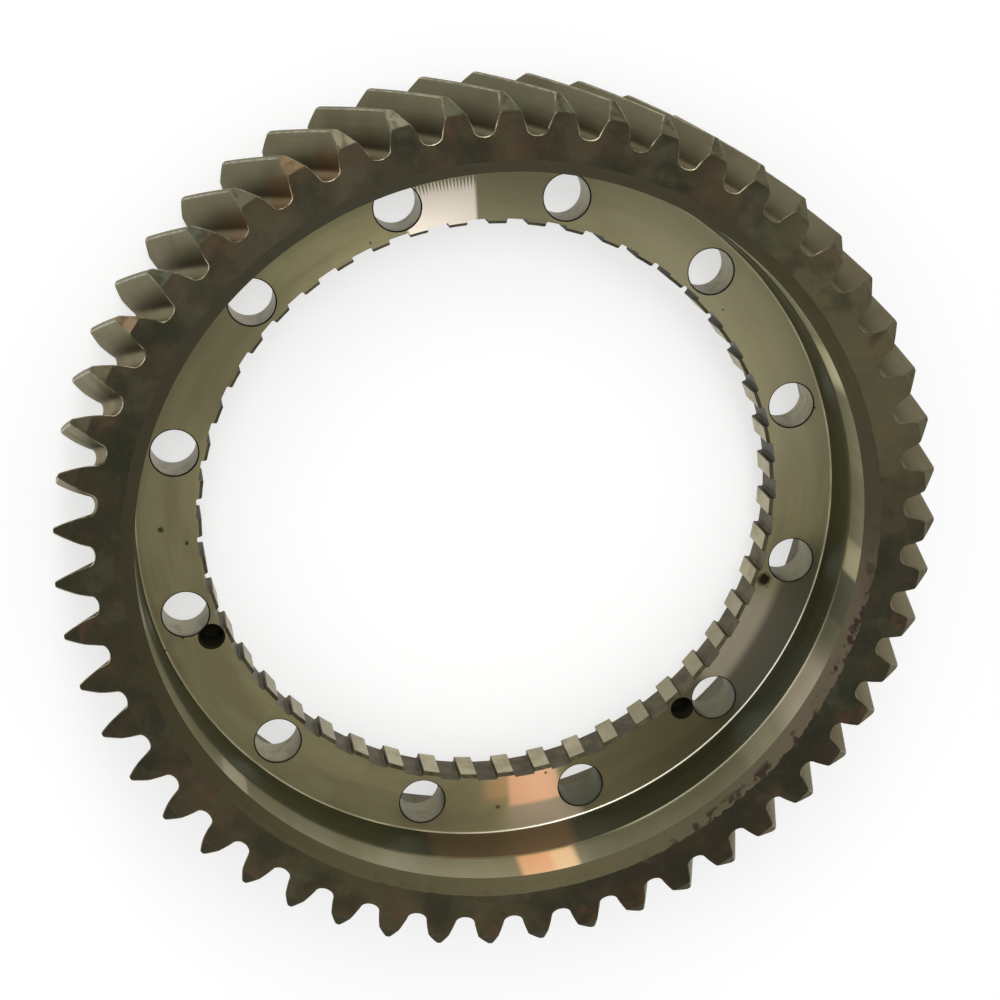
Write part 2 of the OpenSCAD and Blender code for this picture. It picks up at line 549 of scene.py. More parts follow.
def groove_outline():
    """Half of a groove's outline: depth from the land's top, and half width."""
    half_w = (math.tau * bore_r / land_count - land_w) / 2
    flared_w = half_w + groove_flare
    outline = [(-overshoot, flared_w), (0, flared_w), (groove_flare, half_w)]
    for t in (0, math.pi / 8, math.pi / 4, 3 * math.pi / 8, math.pi / 2):
        outline.append((land_h - groove_corner_r * (1 - math.sin(t)),
                        half_w - groove_corner_r * (1 - math.cos(t))))
    return outline


def groove_solid(k):
    """One groove as a prism through the web."""
    turn = land_phase + (k + 0.5) * math.tau / land_count
    half = groove_outline()
    outline = half + [(d, -w) for d, w in half[::-1]]
    n = len(outline)
    ring = [((bore_r + d) * math.cos(turn) - w * math.sin(turn),
             (bore_r + d) * math.sin(turn) + w * math.cos(turn)) for d, w in outline]
    coordinates = [(x, y, z) for z in (web_z - overshoot, web_top_z + overshoot) for x, y in ring]
    corners = [(i, (i + 1) % n, n + (i + 1) % n, n + i) for i in range(n)]
    corners += [tuple(range(n)), tuple(range(n, 2 * n))]
    return coordinates, corners, [FINISH["spline_groove"]] * len(corners)


grooves = [groove_solid(k) for k in range(land_count)]
main_cutter = make_mesh("main_cutter", *merged(bolt_cutters + grooves))

# %% Drill for the blind holes
BLIND_WALL = 0.15
clear_r = blind_hole_gap - bolt_hole_r - BLIND_WALL
print("radius of the blind holes below their mouth: %.2f mm" % clear_r)


def blind_hole_solid(bolt_angle, direction, mouth_r):
    """A blind hole one step away from a bolt hole's centre, a little wider at its mouth."""
    a, d = math.radians(bolt_angle), math.radians(bolt_angle + direction)
    centre = (bolt_circle_r * math.cos(a) + blind_hole_gap * math.cos(d),
              bolt_circle_r * math.sin(a) + blind_hole_gap * math.sin(d))
    floor_z = web_top_z - blind_hole_h
    drill = [(0.3, floor_z), (clear_r, floor_z + 1.5), (clear_r, web_top_z - bolt_bevel - 0.4),
             (mouth_r, web_top_z - 0.1), (mouth_r + 0.3, web_top_z + overshoot)]
    return lathe_solid(drill, centre, "blind_hole", "blind_hole", 48)


blind_cutter = make_mesh("blind_cutter", *merged([blind_hole_solid(*hole) for hole in blind_holes]))

# %% [markdown]
# ## Cutting
#
# The cutters are taken out of the ring as the drills and the broach would do it. The Manifold
# solver is fast and exact on closed meshes, and a cut face keeps the finish number of its cutter.
# The blind holes are cut last and by themselves, because their mouths reach over the rims of the
# bolt holes.

# %% Cutting
SHARP_ANGLE = math.radians(35)


def cut(target, cutter):
    """Takes the cutter out of the target and removes the cutter."""
    modifier = target.modifiers.new("cut", "BOOLEAN")
    modifier.operation = "DIFFERENCE"
    modifier.solver = "MANIFOLD"
    modifier.object = cutter
    graph = bpy.context.evaluated_depsgraph_get()
    result = bpy.data.meshes.new_from_object(target.evaluated_get(graph))
    target.modifiers.clear()
    target.data = result
    bpy.data.objects.remove(cutter)
    print("after the cut:", len(result.polygons), "faces")


for finish in FINISHES:
    material = bpy.data.materials.new(finish)
    for piece in (gear, main_cutter, blind_cutter):
        piece.data.materials.append(material)
cut(gear, main_cutter)
cut(gear, blind_cutter)
gear.data.name = "bull_gear_steel"
gear.data.shade_smooth()
gear.data.set_sharp_from_angle(angle=SHARP_ANGLE)
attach(gear, "root")
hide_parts("bull_gear")

# %% [markdown]
# ## Camera
#
# The camera looks down on the gear from one side, through a long lens, which keeps the ring
# nearly free of perspective. It could be aimed by eye at a target. Here its place, turn and lens
# were fitted until the bolt holes and the rings fell where the picture has them, so they are
# plain numbers.

# %% Camera
camera_spot = (54.52, -280.99, 811.76)
camera_turn = (-14.546, -10.372, 163.374)
camera_data = bpy.data.cameras.new("camera")
camera_data.lens = 80.26
camera_data.sensor_width = 36
camera_data.shift_x = -0.018
camera_data.shift_y = -0.12
camera_data.clip_start = 0.01
camera = bpy.data.objects.new("camera", camera_data)
camera.location = Vector(camera_spot) * MM
camera.rotation_euler = [math.radians(a) for a in camera_turn]
bpy.context.scene.collection.objects.link(camera)
bpy.context.scene.camera = camera
print("camera %.2f m from the gear" % camera.location.length)

# %% [markdown]
# ## Nodes in few words
#
# Every finish is a small tree of nodes. Nodes could be placed and linked one by one, or drawn by
# hand in the editor. Most of that work repeats, so a small class adds a node, feeds it and gives
# back what comes out. Colours are written as a screen shows them, which is how they are judged.

# %% Nodes


def seen(red, green, blue):
    """A colour as a screen shows it, 0 to 255, turned into the linear values of a shader."""
    channels = [c / 255 for c in (red, green, blue)]
    return [c / 12.92 if c <= 0.04045 else ((c + 0.055) / 1.055) ** 2.4 for c in channels] + [1]


class Nodes:
    """Adds nodes to one tree and joins them."""

    def __init__(self, tree):
        self.tree = tree

    def feed(self, socket, value):
        if isinstance(value, bpy.types.NodeSocket):
            self.tree.links.new(value, socket)
        else:
            socket.default_value = value

    def vector(self, operation, a, b=None, scale=None):
        made = self.tree.nodes.new("ShaderNodeVectorMath")
        made.operation = operation
        self.feed(made.inputs[0], a)
        if b is not None:
            self.feed(made.inputs[1], b)
        if scale is not None:
            self.feed(made.inputs["Scale"], scale)
        return made.outputs["Value" if operation in ("LENGTH", "DOT_PRODUCT") else "Vector"]

    def combine(self, x, y, z):
        made = self.tree.nodes.new("ShaderNodeCombineXYZ")
        for socket, value in zip(made.inputs, (x, y, z)):
            self.feed(socket, value)
        return made.outputs[0]

    def math(self, operation, *values):
        made = self.tree.nodes.new("ShaderNodeMath")
        made.operation = operation
        for socket, value in zip(made.inputs, values):
            self.feed(socket, value)
        return made.outputs[0]

    def smooth(self, value, low, high, bottom=0.0, top=1.0):
        """Rises softly from bottom to top while the value goes from low to high."""
        made = self.tree.nodes.new("ShaderNodeMapRange")
        made.interpolation_type = "SMOOTHSTEP"
        for name, number in (("Value", value), ("From Min", low), ("From Max", high),
                             ("To Min", bottom), ("To Max", top)):
            self.feed(made.inputs[name], number)
        return made.outputs[0]

    def noise(self, where, scale, detail=2.0, roughness=0.5, distortion=0.0):
        made = self.tree.nodes.new("ShaderNodeTexNoise")
        for name, value in (("Vector", where), ("Scale", scale), ("Detail", detail),
                            ("Roughness", roughness), ("Distortion", distortion)):
            self.feed(made.inputs[name], value)
        return made.outputs["Fac"]

    def mix(self, factor, a, b, blend="MIX"):
        made = self.tree.nodes.new("ShaderNodeMix")
        made.data_type = "RGBA"
        made.blend_type = blend
        made.clamp_factor = True
        for index, value in ((0, factor), (6, a), (7, b)):
            self.feed(made.inputs[index], value)
        return made.outputs[2]


print("a screen's middle grey is %.3f to the shader" % seen(128, 128, 128)[0])

# %% [markdown]
# ## A helper for finishes
#
# All finishes start from the same few measures of a point on the gear: its place in millimetres,
# its distance from the axis, and its direction from the axis. Turning marks follow the distance,
# stains follow the place, and a tint at one side of the gear follows the direction; many such
# tints are painted reflections and painted shade. A map painted on unwrapped faces could do all
# of it, but it would need a picture, and these measures need none.

# %% Finish
class Finish(Nodes):
    """The nodes of one finish, with the measures of a point on the gear."""

    def __init__(self, name, metallic, roughness, anisotropic=0.0):
        self.material = bpy.data.materials[name]
        self.material.use_nodes = True
        super().__init__(self.material.node_tree)
        self.shader = self.tree.nodes["Principled BSDF"]
        self.shader.inputs["Metallic"].default_value = metallic
        self.shader.inputs["Roughness"].default_value = roughness
        self.shader.inputs["Anisotropic"].default_value = anisotropic
        if anisotropic:
            tangent = self.tree.nodes.new("ShaderNodeTangent")
            tangent.direction_type = "RADIAL"
            tangent.axis = "Z"
            self.shader.inputs["Anisotropic Rotation"].default_value = 0.25
            self.feed(self.shader.inputs["Tangent"], tangent.outputs[0])
        place = self.tree.nodes.new("ShaderNodeTexCoord").outputs["Object"]
        self.spot = self.vector("SCALE", place, scale=1 / MM)
        split = self.tree.nodes.new("ShaderNodeSeparateXYZ")
        self.feed(split.inputs[0], self.spot)
        self.x, self.y, self.z = split.outputs
        flat = self.combine(self.x, self.y, 0)
        self.radius = self.vector("LENGTH", flat)
        self.direction = self.vector("NORMALIZE", flat)

    def around(self, turns, across):
        """Coordinates that change slowly round the axis and fast across it, for turning marks."""
        ring = self.vector("SCALE", self.direction, scale=turns)
        return self.vector("ADD", ring, self.combine(0, 0, across))

    def near(self, angle, half_width, soft=0.4):
        """1 close to an angle of the gear, in degrees from +X, and 0 away from it."""
        a = math.radians(angle)
        facing = self.vector("DOT_PRODUCT", self.direction, (math.cos(a), math.sin(a), 0))
        return self.smooth(facing, math.cos(math.radians(half_width * (1 + soft))),
                           math.cos(math.radians(half_width * (1 - soft))))

    def tinted(self, colour, tints):
        """Lays tints over a colour: angle, half width, softness, strength and the tint itself."""
        for angle, half_width, soft, strength, tint in tints:
            share = self.math("MULTIPLY", self.near(angle, half_width, soft), strength)
            colour = self.mix(share, colour, seen(*tint))
        return colour

    def marked(self, colour, marks, dark=(44, 37, 22)):
        """Small dark marks on a level face: angle, radius and size of each."""
        flat = self.combine(self.x, self.y, 0)
        ragged = self.math("MULTIPLY", self.noise(self.spot, 1.1, 2), 1.3)
        for angle, r, size in marks:
            a = math.radians(angle)
            away = self.vector("SUBTRACT", flat, (r * math.cos(a), r * math.sin(a), 0))
            away = self.math("MULTIPLY", self.vector("LENGTH", away),
                             self.math("ADD", ragged, 0.35))
            colour = self.mix(self.smooth(away, size, size * 0.35), colour, seen(*dark))
        return colour

    def bump(self, height, depth_mm, strength=1.0):
        made = self.tree.nodes.new("ShaderNodeBump")
        self.feed(made.inputs["Height"], height)
        made.inputs["Distance"].default_value = depth_mm * MM
        made.inputs["Strength"].default_value = strength
        if self.shader.inputs["Normal"].is_linked:
            self.feed(made.inputs["Normal"], self.shader.inputs["Normal"].links[0].from_socket)
        self.feed(self.shader.inputs["Normal"], made.outputs[0])

    def colour(self, value):
        self.feed(self.shader.inputs["Base Color"], value)

    def roughness(self, value):
        self.feed(self.shader.inputs["Roughness"], value)

    def report(self):
        print(self.material.name, "has", len(self.tree.nodes), "nodes")


print("materials that wait for a finish:", len(gear.data.materials))

# %% [markdown]
# ## Forged skin
#
# The front face was never machined. Hot forging leaves a dark scale, and handling and oil turn it
# olive and brown in clouds, with rust near the teeth. A painted picture could show this, but
# layers of noise need no file and have no seam. Wide noise sets the clouds, finer noise the
# blotches and grains, and tints follow the direction. The skin reflects little, so it is mostly
# not metallic.

# %% Forged skin
skin = Finish("forged_skin", 0.3, 0.6)
skin.shader.inputs["Specular IOR Level"].default_value = 0.2
clouds = skin.noise(skin.spot, 0.042, 3, 0.5, 0.6)
middle = skin.noise(skin.spot, 0.13, 4, 0.62, 0.4)
grains = skin.noise(skin.spot, 0.6, 4, 0.65)
colour = skin.mix(skin.smooth(clouds, 0.36, 0.66), seen(46, 47, 31), seen(73, 60, 42))
colour = skin.mix(skin.smooth(middle, 0.46, 0.66, 0, 0.75), colour, seen(70, 68, 48))
colour = skin.tinted(colour, [
    (-169, 18, 0.7, 0.5, (108, 102, 73)), (54, 24, 0.6, 0.4, (84, 77, 52)),
    (106, 20, 0.5, 0.6, (42, 36, 22)), (-20, 22, 0.6, 0.6, (44, 45, 28)),
    (150, 14, 0.6, 0.6, (44, 46, 31)), (-72, 14, 0.6, 0.4, (80, 76, 58))])
rust = skin.smooth(skin.noise(skin.spot, 0.1, 4, 0.6, 0.3), 0.5, 0.66)
rust = skin.math("MULTIPLY", rust, skin.smooth(skin.radius, 141, 150, 0.25, 1))
colour = skin.mix(skin.math("MULTIPLY", rust, 0.5), colour, seen(94, 64, 44))
blotches = skin.noise(skin.spot, 0.075, 3, 0.5, 0.1)
colour = skin.mix(skin.smooth(blotches, 0.5, 0.66, 0, 0.5), colour, seen(40, 38, 26))
colour = skin.mix(skin.smooth(blotches, 0.46, 0.34, 0, 0.3), colour, seen(88, 82, 62))
colour = skin.mix(skin.smooth(grains, 0.6, 0.8, 0, 0.3), colour, seen(112, 105, 78))
colour = skin.mix(skin.smooth(grains, 0.42, 0.24, 0, 0.45), colour, seen(34, 31, 19))
skin.colour(colour)
skin.roughness(skin.smooth(middle, 0.3, 0.7, 0.52, 0.68))
skin.bump(skin.math("ADD", middle, skin.math("MULTIPLY", grains, 0.2)), 0.45, 0.45)
skin.report()

# %% [markdown]
# ## Tooth flanks
#
# A hob and a shaver leave fine lines along each tooth. The flanks are bare steel under a thin
# film of oil, rusty in a few gaps. They are lighter at the tip and darker and brown at the root,
# which is painted shade between the teeth over brown oil; tints by direction are painted
# reflections. Each tooth could be painted by itself. Here the colour follows the radius and the
# height, so one finish serves all the teeth, and noise keeps them from being alike.

# %% Tooth flanks
flank = Finish("tooth_flank", 0.8, 0.5)
flank.shader.inputs["Specular Tint"].default_value = seen(232, 227, 200)
lines = flank.noise(flank.around(9, flank.math("MULTIPLY", flank.radius, 1.4)), 1, 3, 0.6)
stain = flank.noise(flank.spot, 0.03, 2, 0.5)
uneven = flank.math("MULTIPLY", flank.math("SUBTRACT", stain, 0.5), 6)
# Darker towards the root: painted shade between the teeth, over the brown of the oil.
depth = flank.smooth(flank.math("ADD", flank.radius, uneven), 148, 151.2)
colour = flank.mix(depth, seen(74, 63, 45), seen(110, 105, 83))
height = flank.math("ADD", flank.z, flank.math("MULTIPLY", uneven, 3))
front = flank.smooth(height, front_z - 28, front_z - 12)
low_front = flank.math("MULTIPLY", front, flank.smooth(flank.radius, 155.5, 150))
colour = flank.mix(flank.math("MULTIPLY", low_front, 0.5), colour, seen(78, 61, 43))
colour = flank.mix(flank.smooth(flank.radius, 148, 146.2, 0, 0.75), colour, seen(122, 113, 88))
# Tints by direction: painted reflections on the flanks.
colour = flank.mix(flank.math("MULTIPLY", flank.near(175, 52, 0.4), 0.7), colour, seen(104, 98, 79))
colour = flank.tinted(colour, [(-90, 34, 0.5, 0.5, (88, 87, 72))])
brown = flank.smooth(stain, 0.5, 0.7, 0, 0.4)
colour = flank.mix(brown, colour, seen(92, 78, 58))
rusty = flank.math("MULTIPLY", low_front, flank.near(-76, 9, 0.6))
colour = flank.mix(flank.math("MULTIPLY", rusty, 0.65), colour, seen(118, 80, 48))
colour = flank.mix(flank.smooth(lines, 0.4, 0.7, 0, 0.08), colour, seen(150, 144, 120))
flank.colour(colour)
flank.roughness(flank.smooth(stain, 0.3, 0.7, 0.44, 0.54))
flank.bump(lines, 0.02, 0.2)
flank.report()

# %% [markdown]
# ## Tip bevels
#
# The bevels at the ends of the teeth are knocked and touched most, so neighbours differ: some are
# bright, some tan with rust, some dark. Each could have a material. They share one finish
# instead, and tints as wide as a tooth or two tell them apart. One wide dark tint is painted
# shade on the side of the ring away from the light.

# %% Tip bevels
bevel = Finish("tip_bevel", 0.5, 0.6)
bevel.shader.inputs["Specular IOR Level"].default_value = 0.15
bevel.shader.inputs["Specular Tint"].default_value = seen(200, 194, 160)
# The first tint, 70 degrees wide, is painted shade on the side away from the light.
colour = bevel.tinted(seen(116, 112, 88), [
    (35, 70, 0.2, 0.95, (46, 45, 30)), (-50.0, 3.0, 0.2, 0.7, (166, 134, 106)),
    (-60.6, 6.4, 0.2, 0.7, (84, 89, 76)), (-71.2, 3.0, 0.2, 0.6, (106, 103, 86)),
    (-78.3, 3.0, 0.2, 0.7, (154, 122, 88)), (-88.8, 6.4, 0.2, 0.7, (164, 157, 130)),
    (-116, 20, 0.3, 0.6, (90, 92, 74)), (-160, 26, 0.3, 0.6, (86, 84, 66))])
stain = bevel.noise(bevel.spot, 0.22, 4, 0.6, 0.6)
colour = bevel.mix(bevel.smooth(stain, 0.46, 0.64, 0, 0.6), colour, seen(66, 56, 40))
bevel.colour(colour)
bevel.bump(bevel.noise(bevel.spot, 0.8, 3), 0.12, 0.35)
bevel.report()

# %% [markdown]
# ## Worn edges
#
# A broken edge catches light as a thin line that comes and goes. A bevel shader could draw such a
# line, but only in this renderer. Here the line is real: it is the small break of the toothed
# band. Its finish changes from bright to dull along it, and painted shade darkens it towards
# the root and on the side of the ring away from the light.

# %% Worn edges
edge = Finish("worn_edge", 0.9, 0.35)
wear = edge.noise(edge.spot, 0.2, 3, 0.6)
colour = edge.mix(edge.smooth(wear, 0.38, 0.6), seen(84, 76, 54), seen(196, 188, 152))
# Darker towards the root: painted shade between the teeth.
colour = edge.mix(edge.smooth(edge.radius, 147.6, 151, 0, 0.85), colour, seen(92, 85, 64))
tips = edge.mix(edge.smooth(wear, 0.4, 0.6), seen(112, 106, 82), seen(148, 141, 112))
colour = edge.mix(edge.smooth(edge.radius, 155.5, 157), colour, tips)
# A tint 88 degrees wide: painted shade on the side away from the light.
edge.colour(edge.tinted(colour, [(128, 88, 0.2, 0.8, (78, 72, 55))]))
edge.report()

# %% [markdown]
# ## The bevel at the mouth
#
# The bevel is a rough cut into the forging. On one side pits of the scale stay in its outer part,
# and a pinkish bloom has grown beside them. The border is already ragged in the mesh. The pits
# inside it are too small to be worth cutting, so they are dark noise with a little bump.

# %% Bevel at the mouth
mouth = Finish("mouth_bevel", 0.6, 0.5)
mouth.shader.inputs["Specular IOR Level"].default_value = 0.3
bands = mouth.noise(mouth.around(2, mouth.math("MULTIPLY", mouth.radius, 1.1)), 1, 2, 0.5)
pits = mouth.noise(mouth.spot, 0.2, 2, 0.5)
colour = mouth.mix(mouth.smooth(bands, 0.35, 0.65), seen(80, 74, 48), seen(86, 79, 54))
colour = mouth.tinted(colour, [
    (66, 24, 0.5, 0.45, (102, 95, 68)), (-40, 55, 0.4, 0.8, (64, 59, 38)),
    (-125, 40, 0.5, 0.5, (70, 66, 46)), (124, 26, 0.5, 0.6, (96, 91, 72)),
    (168, 14, 0.5, 0.6, (74, 69, 54)), (100, 16, 0.5, 0.4, (76, 70, 48))])
spoiled = mouth.near(127, 28, 0.3)
clouded = mouth.smooth(mouth.noise(mouth.spot, 0.05, 3), 0.3, 0.55, 0.2, 0.9)
bloom = mouth.math("MULTIPLY", mouth.near(137, 20, 0.4), clouded)
colour = mouth.mix(mouth.math("MULTIPLY", bloom, 0.8), colour, seen(102, 89, 74))
outer_pits = mouth.math("MULTIPLY", mouth.smooth(mouth.radius, relief_r + 1.2, relief_r + 2.8),
                        mouth.math("MAXIMUM", spoiled, 0.15))
pitted = mouth.math("MULTIPLY", mouth.smooth(pits, 0.5, 0.62), outer_pits)
colour = mouth.mix(pitted, colour, seen(52, 40, 31))
mouth.colour(colour)
mouth.bump(mouth.math("SUBTRACT", mouth.math("MULTIPLY", bands, 0.04), pitted), 0.25, 0.5)
mouth.report()

# %% [markdown]
# ## The relieved wall
#
# The turned wall inside the bevel mirrors its room in bands, some sharp and some soft. A model of
# that room could give them, but the room isn't known. So the lamps give a few of them, and the
# others are tints, each at its angle, with soft or hard ends. The wall is anisotropic, because
# its turning marks run round the axis.

# %% Relieved wall
wall = Finish("relief_wall", 0.9, 0.42, 0.6)
bands = wall.noise(wall.around(2, wall.math("MULTIPLY", wall.z, 1.2)), 1, 3, 0.6)
sides = wall.noise(wall.vector("SCALE", wall.direction, scale=5), 1, 3, 0.6)
colour = wall.mix(wall.smooth(sides, 0.35, 0.65), seen(146, 142, 112), seen(164, 158, 128))
colour = wall.mix(wall.smooth(bands, 0.3, 0.7, 0, 0.3), colour, seen(128, 123, 95))
colour = wall.tinted(colour, [
    (24.2, 2.8, 0.12, 0.6, (210, 202, 166)), (-171.5, 3.6, 0.5, 0.8, (226, 218, 176)),
    (4, 15, 0.5, 0.5, (124, 118, 86)), (62, 12, 0.3, 0.45, (190, 184, 152)),
    (102, 15, 0.1, 0.6, (112, 108, 82)), (133.5, 6.5, 0.45, 0.8, (196, 183, 162)),
    (148.6, 4.0, 0.12, 0.8, (92, 92, 70)), (143.5, 4.5, 0.8, 0.7, (96, 95, 76)),
    (155.4, 2.7, 0.15, 0.7, (206, 196, 154)), (164, 6, 0.3, 0.4, (132, 128, 98)),
    (80.2, 4.6, 0.15, 1.0, (250, 204, 158)), (83.0, 1.8, 0.5, 0.8, (255, 232, 190))])
wall.colour(colour)
wall.bump(bands, 0.03, 0.4)
wall.report()

# %% [markdown]
# ## The pilot wall
#
# The pilot wall locates the part that is bolted to the web. It is ground, and it sees mostly the
# dark inside of the ring. Less light could darken it, but that would darken the web too. So its
# dark colour is painted shade, on a metal with a low specular level, which looks right from every
# side. Two tints by direction are painted reflections.

# %% Pilot wall
# Small dark marks, here and on the web: angle, radius and size of each
CORNER_MARKS = [(4.7, 130.7, 0.45)]
pilot = Finish("pilot_wall", 0.7, 0.5)
pilot.shader.inputs["Specular IOR Level"].default_value = 0.2
bands = pilot.noise(pilot.around(2, pilot.math("MULTIPLY", pilot.z, 1.0)), 1, 2)
colour = pilot.mix(pilot.smooth(bands, 0.3, 0.7), seen(72, 74, 51), seen(84, 84, 59))
# Two tints by direction: painted reflections, an orange one and a grey one.
colour = pilot.tinted(colour, [(74, 12, 0.1, 0.85, (122, 104, 78)),
                               (128, 8, 0.5, 0.5, (88, 90, 80))])
pilot.colour(pilot.marked(colour, CORNER_MARKS))
pilot.bump(bands, 0.02, 0.3)
pilot.report()

# %% [markdown]
# ## Corner and step
#
# The rounding at the web and the tiny break at the top of the pilot wall show as thin lines,
# bright where they face the light. They could be two finishes. One is enough, with the height to
# tell the step from the corner, and with a colour that changes by direction: a painted white
# highlight on one side, and painted shade on the step elsewhere.

# %% Corner and step
corner = Finish("corner_round", 0.6, 0.35)
wear = corner.noise(corner.spot, 0.06, 3)
colour = corner.mix(corner.smooth(wear, 0.35, 0.65), seen(150, 143, 114), seen(194, 186, 156))
step = corner.smooth(corner.z, pilot_z - 2, pilot_z - 1)
# Painted shade on the step, on two sides of the ring.
step_shade_sides_painted = corner.math("MAXIMUM", corner.near(5, 62, 0.3), corner.near(-170, 38, 0.3))
step_shade_painted = corner.math("MULTIPLY", corner.math("MULTIPLY", step, step_shade_sides_painted), 0.9)
colour = corner.mix(step_shade_painted, colour, seen(86, 83, 62))
# Painted highlight: the line turns white on one side.
colour = corner.tinted(colour, [(108, 30, 0.4, 1.0, (250, 245, 228))])
# Painted shade on the step at one more side, lighter than the rest.
step_half_shade_painted = corner.math("MULTIPLY", step, corner.near(76, 18, 0.3))
colour = corner.mix(step_half_shade_painted, colour, seen(128, 121, 94))
corner.colour(corner.marked(colour, CORNER_MARKS))
corner.report()

# %% [markdown]
# ## The turned web
#
# The web is turned: its fine rings spread light across them and not along them, which is what the
# shader calls anisotropic. That gives the fan of light on the face. Modelled rings could do it
# too, but they would need millions of faces. Three patches of light are sharper than a soft box
# would draw, and one ends in a comb of chatter marks, so they are painted highlights and
# reflections, limited by angle and radius, as are other tints of painted reflection and shade.
# Small nicks and stains are set by angle, radius and size.

# %% Turned web
WEB_MARKS = [(74.2, 120.5, 1.2), (84.1, 109.6, 0.7), (-16.1, 121.8, 1.5), (-13.2, 112.7, 1.1),
             (-83.3, 110.7, 0.7), (-156.9, 112.5, 0.6), (178.2, 127.6, 0.6)]
DARK_MARKS = [(145.2, 110.8, 3.6)]
RIM_MARKS = [(3.64, 123.1, 0.95)]
CHATTER_WAVES = 613
web = Finish("turned_web", 0.95, 0.45, 0.85)
rings = web.noise(web.around(1.5, web.math("MULTIPLY", web.radius, 2.2)), 1, 3, 0.65)
wide = web.noise(web.around(2.5, web.math("MULTIPLY", web.radius, 0.12)), 1, 3)
colour = web.mix(web.smooth(wide, 0.35, 0.65), seen(148, 141, 105), seen(164, 157, 118))
colour = web.mix(web.smooth(rings, 0.3, 0.7, 0, 0.22), colour, seen(122, 115, 86))
oil = web.noise(web.spot, 0.035, 3, 0.5, 1.2)
colour = web.mix(web.smooth(oil, 0.55, 0.75, 0, 0.25), colour, seen(116, 104, 75))
# Tints by direction: painted reflections, lighter and darker.
colour = web.tinted(colour, [
    (-162, 28, 0.7, 0.6, (198, 191, 154)), (-49, 12, 0.5, 0.35, (118, 113, 86)),
    (-110, 7, 0.5, 0.5, (132, 128, 102)), (66, 9, 0.3, 0.4, (120, 110, 82))])
outer = web.smooth(web.radius, 115, 119.5)
# Painted reflection at 131 degrees, painted shade at 136 and at 104.5 degrees.
colour = web.mix(web.math("MULTIPLY", web.near(131, 11, 0.3), 0.75), colour, seen(180, 170, 152))
shade = web.math("MULTIPLY", web.near(136, 17, 0.25), web.math("MULTIPLY", outer, 0.8))
colour = web.mix(shade, colour, seen(84, 82, 68))
colour = web.mix(web.math("MULTIPLY", web.near(104.5, 17, 0.12), 0.78), colour, seen(76, 70, 48))
# Painted orange and pale reflections, with a blurred one beside them.
painted_orange_reflection = web.math("MULTIPLY", web.near(81.3, 4.9, 0.14), web.smooth(web.radius, 121.8, 119.6))
painted_pale_reflection = web.math("MULTIPLY", web.near(82.5, 6.2, 0.2), web.smooth(web.radius, 119.6, 121.8))
painted_blurred_reflection = web.math("MULTIPLY", web.near(74.6, 2.4, 0.8), web.smooth(web.radius, 120, 115))
colour = web.mix(web.math("MULTIPLY", painted_blurred_reflection, 0.6), colour, seen(196, 158, 112))
colour = web.mix(painted_pale_reflection, colour, seen(162, 148, 126))
colour = web.mix(painted_orange_reflection, colour, seen(222, 178, 144))
# Painted cream highlight, its outer edge ragged with chatter marks.
chatter = web.math("SINE", web.math("MULTIPLY", web.math("ARCTAN2", web.y, web.x), CHATTER_WAVES))
uneven = web.noise(web.vector("SCALE", web.direction, scale=30), 1, 2)
ragged = web.math("ADD", web.math("MULTIPLY", chatter, 1.9), web.math("MULTIPLY", uneven, 3))
fringe = web.math("ADD", web.radius, ragged)
painted_cream_highlight = web.math("MULTIPLY", web.near(-97.2, 6.6, 0.06), web.smooth(fringe, 126.2, 122.8))
colour = web.mix(painted_cream_highlight, colour, seen(255, 243, 226))
colour = web.marked(colour, WEB_MARKS, (84, 74, 47))
web.colour(web.marked(colour, DARK_MARKS + RIM_MARKS + CORNER_MARKS))
web.bump(rings, 0.02, 0.3)
web.report()

# %% [markdown]
# ## Bolt holes
#
# A drill leaves faint rings down a hole, and some holes are stained. Each wall faces another part
# of the room, so they differ in brightness. Twelve materials could say that. Tints by direction
# say it with one finish: they are painted reflections and painted shade.

# %% Bolt holes
hole = Finish("drilled_wall", 0.9, 0.45)
rings = hole.noise(hole.combine(0, 0, hole.math("MULTIPLY", hole.z, 1.6)), 1, 2)
stain = hole.noise(hole.spot, 0.2, 3)
colour = hole.mix(hole.smooth(rings, 0.3, 0.7), seen(146, 140, 114), seen(164, 157, 130))
# Tints by direction: painted reflections and painted shade, one hole or side each.
colour = hole.tinted(colour, [
    (60, 12, 0.3, 0.6, (112, 108, 84)), (90, 12, 0.3, 0.95, (70, 70, 44)),
    (120, 12, 0.3, 0.85, (98, 95, 70)), (150, 12, 0.3, 0.7, (122, 118, 92)),
    (-60, 60, 0.5, 0.25, (190, 184, 162))])
colour = hole.mix(hole.smooth(stain, 0.46, 0.66, 0, 0.4), colour, seen(92, 90, 70))
hole.colour(colour)
hole.bump(rings, 0.03, 0.3)
hole.report()

# %% [markdown]
# ## Rims of the bolt holes
#
# The broken edge of each hole shows as a thin dark ring, painted shade of its bevel. A dark
# circle could be mixed into the web's colour, but its edge would be soft. The rim's own faces
# keep it sharp.

# %% Rims of the bolt holes
rim = Finish("hole_rim", 0.2, 0.6)
rim.shader.inputs["Specular IOR Level"].default_value = 0.2
# Painted shade: the bevel's dark line, a little uneven.
uneven_rim_shade = rim.smooth(rim.noise(rim.spot, 0.25), 0.45, 0.75)
rim.colour(rim.marked(rim.mix(uneven_rim_shade, seen(28, 26, 18), seen(62, 58, 42)), RIM_MARKS))
rim.report()

# %% [markdown]
# ## Lands of the spline
#
# The collar that slides in the bore keeps the lands bright. The broach's fine lines run along the
# bore. An anisotropic shader would spread light across them, but on such narrow faces it is
# enough that the noise changes quickly round the axis and not along it.

